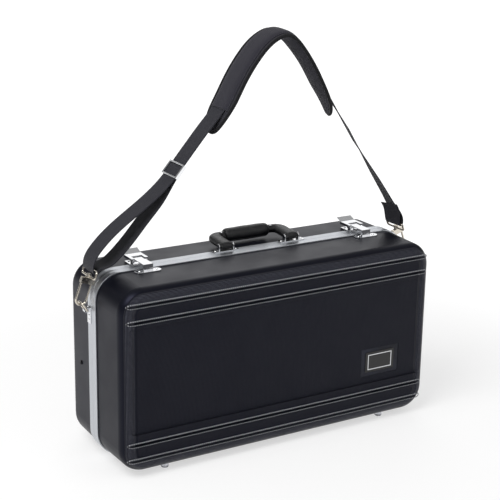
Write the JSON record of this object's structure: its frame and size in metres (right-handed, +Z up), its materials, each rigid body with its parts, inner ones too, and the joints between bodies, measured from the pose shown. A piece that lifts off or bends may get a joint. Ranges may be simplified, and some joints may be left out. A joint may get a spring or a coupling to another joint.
{
  "type": "trumpet case",
  "caption": "Hard-shell trumpet case with metal edge valances, draw latches, folding handle, padded shoulder strap on snap hooks and a padded bed inside.",
  "frame": {"origin": "floor under the middle of the closed case, feet at z 0", "axes": "+X to the viewer's right along the case, +Y from the lid's face to the back, +Z up"},
  "size_m": [0.6112, 0.189, 0.6334],
  "materials": {
    "shell": "fine pebble grain",
    "edge_metal": "satin anodised",
    "bright_metal": "polished",
    "nickel": "satin nickel",
    "webbing": "woven rib",
    "pad_cloth": "woven cloth over foam",
    "grip_leather": "grained",
    "foot_rubber": "matte",
    "plush": "short plush",
    "ribbon": "ribbon",
    "badge_metal": "brushed, bare"
  },
  "bodies": {
    "base": {"rear_shell": "shell", "rear_valance": "edge_metal", "hinge_base_leaf_left": "bright_metal", "hinge_base_leaf_right": "bright_metal", "hinge_pins": "nickel", "base_rivets": "bright_metal", "rear_feet": "foot_rubber", "latch_base_left": "bright_metal", "latch_base_right": "bright_metal", "latch_pins": "nickel", "handle_bracket_left": "bright_metal", "handle_bracket_right": "bright_metal", "handle_pins": "nickel", "ring_bracket_left": "bright_metal", "ring_bracket_right": "bright_metal", "bed_lining": "plush", "bed_divider": "plush", "bed_end_rest": "plush", "valve_rest": "plush", "pipe_rest": "plush", "bell_rest": "plush", "mouthpiece_block": "plush", "stay_rivets_base": "bright_metal", "lid_stay_left": "ribbon", "lid_stay_right": "ribbon"},
    "lid": {"front_shell": "shell", "front_valance": "edge_metal", "badge_plate": "badge_metal", "hinge_lid_leaf_left": "bright_metal", "hinge_lid_leaf_right": "bright_metal", "lid_rivets": "bright_metal", "front_feet": "foot_rubber", "latch_strike_left": "bright_metal", "latch_strike_right": "bright_metal", "lid_lining": "plush", "stay_rivets_lid": "bright_metal"},
    "handle": {"handle_strap": "grip_leather", "handle_grip": "grip_leather"},
    "accessory_cover": {"accessory_lid": "plush", "accessory_tab": "ribbon"},
    "shoulder_strap": {"strap_webbing": "webbing", "shoulder_pad": "pad_cloth", "strap_slider": "bright_metal", "strap_eye_left": "nickel", "strap_eye_right": "nickel"},
    "lever_left": {"latch_lever_left": "bright_metal", "latch_link_pin_left": "nickel"},
    "link_left": {"latch_link_left": "bright_metal"},
    "hook_left": {"snap_hook_left": "nickel"},
    "gate_left": {"hook_gate_left": "nickel"},
    "ring_left": {"strap_ring_left": "nickel"},
    "lever_right": {"latch_lever_right": "bright_metal", "latch_link_pin_right": "nickel"},
    "link_right": {"latch_link_right": "bright_metal"},
    "hook_right": {"snap_hook_right": "nickel"},
    "gate_right": {"hook_gate_right": "nickel"},
    "ring_right": {"strap_ring_right": "nickel"}
  },
  "joints": [
    {"name": "lid_hinge", "type": "hinge", "parent": "base", "child": "lid", "pos_m": [0, 0.0035, 0.0039], "axis": [1, 0, 0], "range_deg": [0, 90], "deforming": ["lid_stay_left", "lid_stay_right"]},
    {"name": "handle_fold", "type": "hinge", "parent": "base", "child": "handle", "pos_m": [0.012, 0.011, 0.309], "axis": [1, 0, 0], "range_deg": [-3, 133]},
    {"name": "accessory_hinge", "type": "hinge", "parent": "base", "child": "accessory_cover", "pos_m": [0, 0.0105, 0.2096], "axis": [1, 0, 0], "range_deg": [0, 90]},
    {"name": "strap_swing", "type": "hinge", "parent": "base", "child": "shoulder_strap", "pos_m": [0, 0.01025, 0.25584], "axis": [1, 0, 0], "range_deg": [-12, 12]},
    {"name": "latch_throw_left", "type": "hinge", "parent": "base", "child": "lever_left", "pos_m": [-0.199, 0.0115, 0.306], "axis": [1, 0, 0], "range_deg": [0, 90]},
    {"name": "latch_link_turn_left", "type": "hinge", "parent": "lever_left", "child": "link_left", "pos_m": [-0.199, 0.0175, 0.3075], "axis": [1, 0, 0], "range_deg": [-90, 0]},
    {"name": "hook_swivel_left", "type": "hinge", "parent": "shoulder_strap", "child": "hook_left", "pos_m": [-0.29689, 0.01025, 0.25584], "axis": [0.342, 0, 0.9397], "range_deg": [-10, 10]},
    {"name": "gate_press_left", "type": "hinge", "parent": "hook_left", "child": "gate_left", "pos_m": [-0.2772, 0.01025, 0.28507], "axis": [0, 1, 0], "range_deg": [0, 20], "stiffness_Nm_per_rad": 0.05, "springref_deg": -20.05},
    {"name": "ring_swing_left", "type": "hinge", "parent": "base", "child": "ring_left", "pos_m": [-0.2879, 0.01025, 0.242], "axis": [0, 1, 0], "range_deg": [0, 15]},
    {"name": "latch_throw_right", "type": "hinge", "parent": "base", "child": "lever_right", "pos_m": [0.199, 0.0115, 0.306], "axis": [1, 0, 0], "range_deg": [0, 90]},
    {"name": "latch_link_turn_right", "type": "hinge", "parent": "lever_right", "child": "link_right", "pos_m": [0.199, 0.0175, 0.3075], "axis": [1, 0, 0], "range_deg": [-90, 0]},
    {"name": "hook_swivel_right", "type": "hinge", "parent": "shoulder_strap", "child": "hook_right", "pos_m": [0.29689, 0.01025, 0.25584], "axis": [-0.342, 0, 0.9397], "range_deg": [-10, 10]},
    {"name": "gate_press_right", "type": "hinge", "parent": "hook_right", "child": "gate_right", "pos_m": [0.2772, 0.01025, 0.28507], "axis": [0, -1, 0], "range_deg": [0, 20], "stiffness_Nm_per_rad": 0.05, "springref_deg": -20.05},
    {"name": "ring_swing_right", "type": "hinge", "parent": "base", "child": "ring_right", "pos_m": [0.2879, 0.01025, 0.242], "axis": [0, -1, 0], "range_deg": [0, 15]}
  ],
  "couplings": [
    {"joint": "latch_link_turn_left", "follows": "latch_throw_left", "ratio": -1},
    {"joint": "latch_link_turn_right", "follows": "latch_throw_right", "ratio": -1}
  ]
}
